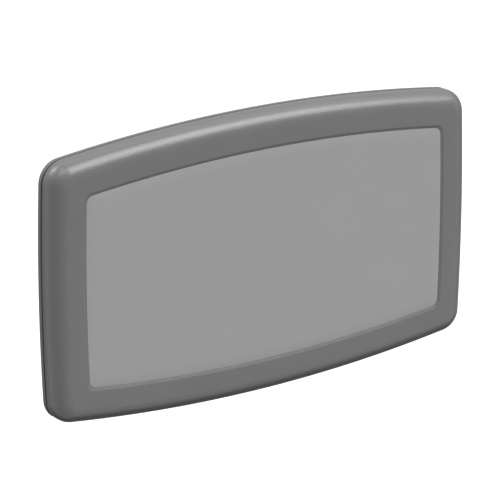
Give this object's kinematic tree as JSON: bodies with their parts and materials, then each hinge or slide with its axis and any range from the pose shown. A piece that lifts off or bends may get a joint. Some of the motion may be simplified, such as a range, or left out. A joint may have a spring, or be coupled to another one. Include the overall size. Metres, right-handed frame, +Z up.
{
  "type": "baby changing station",
  "caption": "Wall-hung horizontal baby changing station with a fold-down moulded bed, bowed outline, inset front panel, steel hinge, gas spring, strap and liner dispenser.",
  "frame": {"origin": "centre of the back face, where the housing lies against the wall", "axes": "+X to the right seen from the front, +Y into the wall, +Z up; the front faces -Y"},
  "size_m": [0.894, 0.102, 0.511],
  "materials": {
    "shell_plastic": "dark grey satin moulded polyethylene, finely textured",
    "panel_plastic": "light grey matt sheet",
    "inner_plastic": "mid grey moulded polyethylene",
    "zinc_steel": "zinc plated",
    "dark_steel": "dark powder coat",
    "chrome": "polished",
    "rubber": "matt black",
    "nylon": "black moulded nylon",
    "webbing": "woven strap webbing"
  },
  "bodies": {
    "housing": {"rear_housing": "shell_plastic", "dispenser_box": "inner_plastic", "gas_spring_cover": "inner_plastic", "bag_hook_left": "inner_plastic", "bag_hook_right": "inner_plastic", "upper_wall_strap": "zinc_steel", "lower_wall_strap": "zinc_steel", "shaft_clip_left": "zinc_steel", "shaft_clip_right": "zinc_steel", "gas_spring_bracket": "zinc_steel", "lid_hinge_pin": "zinc_steel", "dispenser_screw_left": "zinc_steel", "dispenser_screw_right": "zinc_steel", "rail_bolt_1": "zinc_steel", "rail_bolt_2": "zinc_steel", "wall_bolt_1": "zinc_steel", "wall_bolt_2": "zinc_steel", "wall_bolt_3": "zinc_steel", "wall_bolt_4": "zinc_steel", "wall_hinge_rail": "dark_steel", "hinge_shaft": "chrome", "gas_spring_top_pin": "chrome", "stop_pad_left": "rubber", "stop_pad_right": "rubber", "rim_bumper_1": "rubber", "rim_bumper_2": "rubber", "rim_bumper_3": "rubber", "rim_bumper_4": "rubber"},
    "bed": {"bed_front_shell": "shell_plastic", "front_panel": "panel_plastic", "changing_surface": "inner_plastic", "bed_hinge_rail": "dark_steel", "crank_pin": "zinc_steel", "strap_upper": "webbing", "strap_lower": "webbing", "strap_anchor_upper": "nylon", "strap_anchor_lower": "nylon", "buckle_socket": "nylon", "bed_screw_1": "zinc_steel", "bed_screw_2": "zinc_steel", "bed_screw_3": "zinc_steel", "bed_screw_4": "zinc_steel", "bed_screw_5": "zinc_steel", "bed_screw_6": "zinc_steel", "bed_rail_screw_1": "zinc_steel", "bed_rail_screw_2": "zinc_steel", "bed_rail_screw_3": "zinc_steel", "bed_rail_screw_4": "zinc_steel", "hinge_bush_1": "nylon", "hinge_bush_2": "nylon", "hinge_bush_3": "nylon", "hinge_bush_4": "nylon"},
    "gas_cylinder": {"gas_spring_cylinder": "dark_steel"},
    "gas_rod": {"gas_spring_rod": "chrome"},
    "refill_lid": {"dispenser_lid": "inner_plastic"},
    "lid_lock": {"dispenser_lock": "chrome"},
    "strap_plug": {"buckle_plug": "nylon", "strap_tail": "webbing"}
  },
  "joints": [
    {"name": "bed_fold", "type": "hinge", "parent": "housing", "child": "bed", "pos_m": [0, -0.068, -0.2235], "axis": [1, 0, 0], "range_deg": [0, 90]},
    {"name": "gas_cylinder_swing", "type": "hinge", "parent": "housing", "child": "gas_cylinder", "pos_m": [0.307, -0.044, 0.03], "axis": [1, 0, 0], "range_deg": [-2.2, 0]},
    {"name": "gas_rod_slide", "type": "slide", "parent": "gas_cylinder", "child": "gas_rod", "axis": [0, 0.0266, 0.9996], "range_m": [0, 0.0237]},
    {"name": "refill_lid_hinge", "type": "hinge", "parent": "housing", "child": "refill_lid", "pos_m": [0, -0.0388, 0.0925], "axis": [1, 0, 0], "range_deg": [0, 90]},
    {"name": "lid_lock_turn", "type": "hinge", "parent": "refill_lid", "child": "lid_lock", "pos_m": [0, -0.0388, 0.1145], "axis": [0, -1, 0], "range_deg": [0, 90]},
    {"name": "strap_plug_slide", "type": "slide", "parent": "bed", "child": "strap_plug", "axis": [0, 0, -1], "range_m": [0, 0.03]}
  ],
  "couplings": [
    {"joint": "gas_cylinder_swing", "follows": "bed_fold", "ratio": -0.023508},
    {"joint": "gas_rod_slide", "follows": "bed_fold", "m_per_rad": 0.015023}
  ]
}
